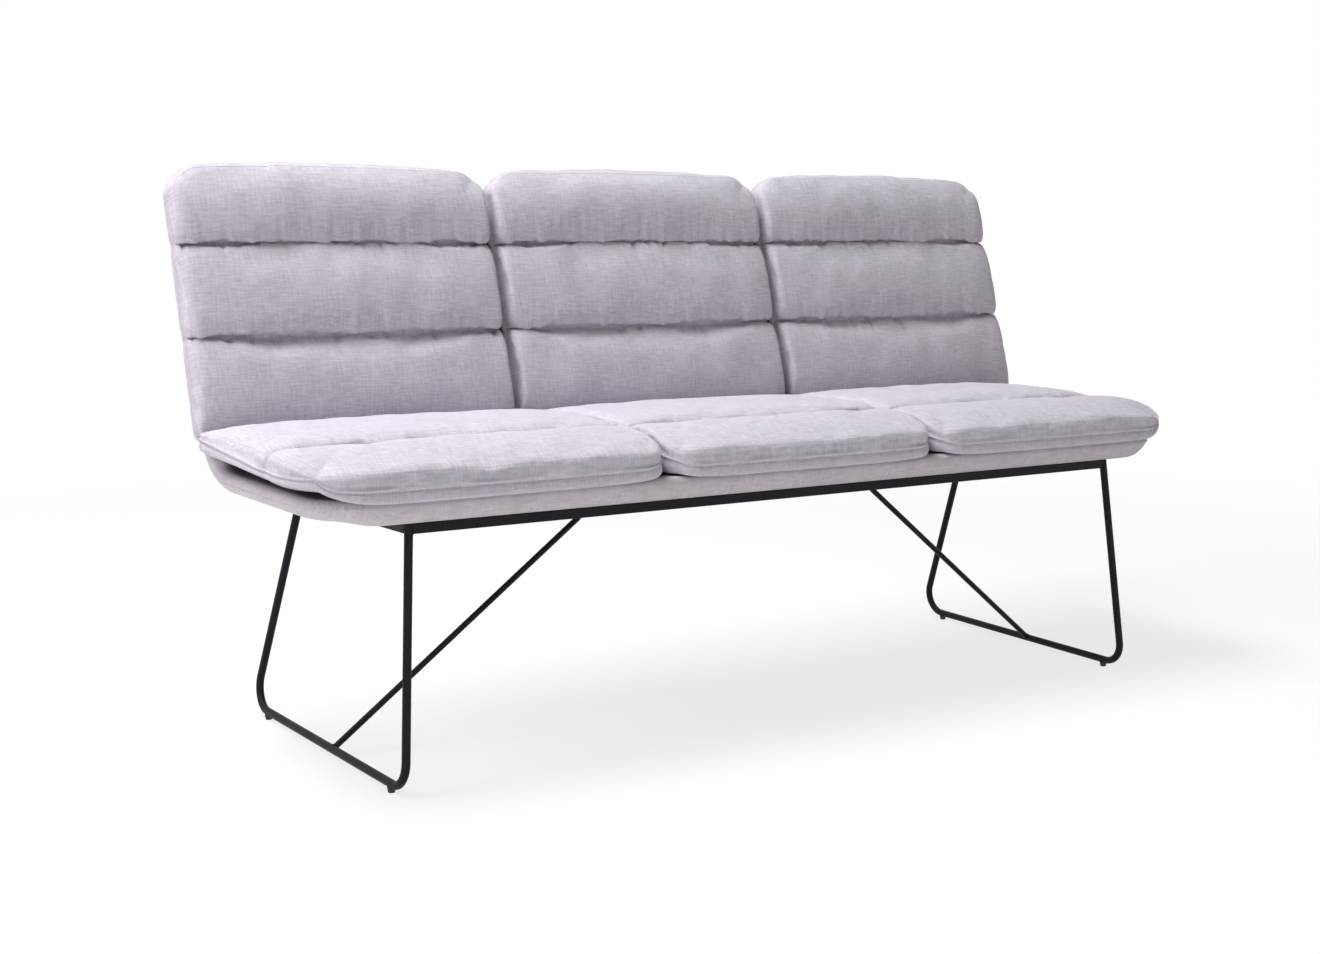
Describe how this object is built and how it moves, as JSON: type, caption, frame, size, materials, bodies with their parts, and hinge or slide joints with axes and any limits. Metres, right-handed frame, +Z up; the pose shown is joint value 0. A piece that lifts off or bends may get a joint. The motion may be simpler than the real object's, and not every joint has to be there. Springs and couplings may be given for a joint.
{
  "type": "dining banquette",
  "caption": "Free-standing upholstered dining banquette: channelled seat and back pads on one bent, padded shell, carried by a black round-bar sled frame with diagonal braces.",
  "frame": {"origin": "on the floor, under the middle of the overall box", "axes": "+X along the bench to a viewer's right, +Y from the sitter's side towards the back, +Z up"},
  "size_m": [1.6, 0.6078, 0.8505],
  "materials": {
    "powder_coat": "fine satin black powder coat",
    "zinc_steel": "bright zinc plate",
    "glide_plastic": "matt black moulded nylon",
    "plywood": "raw birch plywood",
    "foam": "cut polyurethane foam",
    "upholstery_cloth": "light lilac-grey slub weave",
    "touch_fastener": "black hook-and-loop tape"
  },
  "bodies": {
    "root": {"back_touch_strips": "touch_fastener", "bolt_washers": "zinc_steel", "frame_bolts": "zinc_steel", "front_rail": "powder_coat", "left_back_pad_cover": "upholstery_cloth", "left_back_pad_foam": "foam", "left_brace": "powder_coat", "left_cross_bar": "powder_coat", "left_end_bar": "powder_coat", "left_front_glide": "glide_plastic", "left_rear_glide": "glide_plastic", "left_seat_pad_cover": "upholstery_cloth", "left_seat_pad_foam": "foam", "left_sled_leg": "powder_coat", "middle_back_pad_cover": "upholstery_cloth", "middle_back_pad_foam": "foam", "middle_seat_pad_cover": "upholstery_cloth", "middle_seat_pad_foam": "foam", "mounting_tabs": "powder_coat", "rear_rail": "powder_coat", "right_back_pad_cover": "upholstery_cloth", "right_back_pad_foam": "foam", "right_brace": "powder_coat", "right_cross_bar": "powder_coat", "right_end_bar": "powder_coat", "right_front_glide": "glide_plastic", "right_rear_glide": "glide_plastic", "right_seat_pad_cover": "upholstery_cloth", "right_seat_pad_foam": "foam", "right_sled_leg": "powder_coat", "seat_touch_strips": "touch_fastener", "shell_inner_cover": "upholstery_cloth", "shell_inner_foam": "foam", "shell_outer_cover": "upholstery_cloth", "shell_outer_foam": "foam", "shell_plywood": "plywood", "tee_nuts": "zinc_steel"}
  },
  "joints": []
}
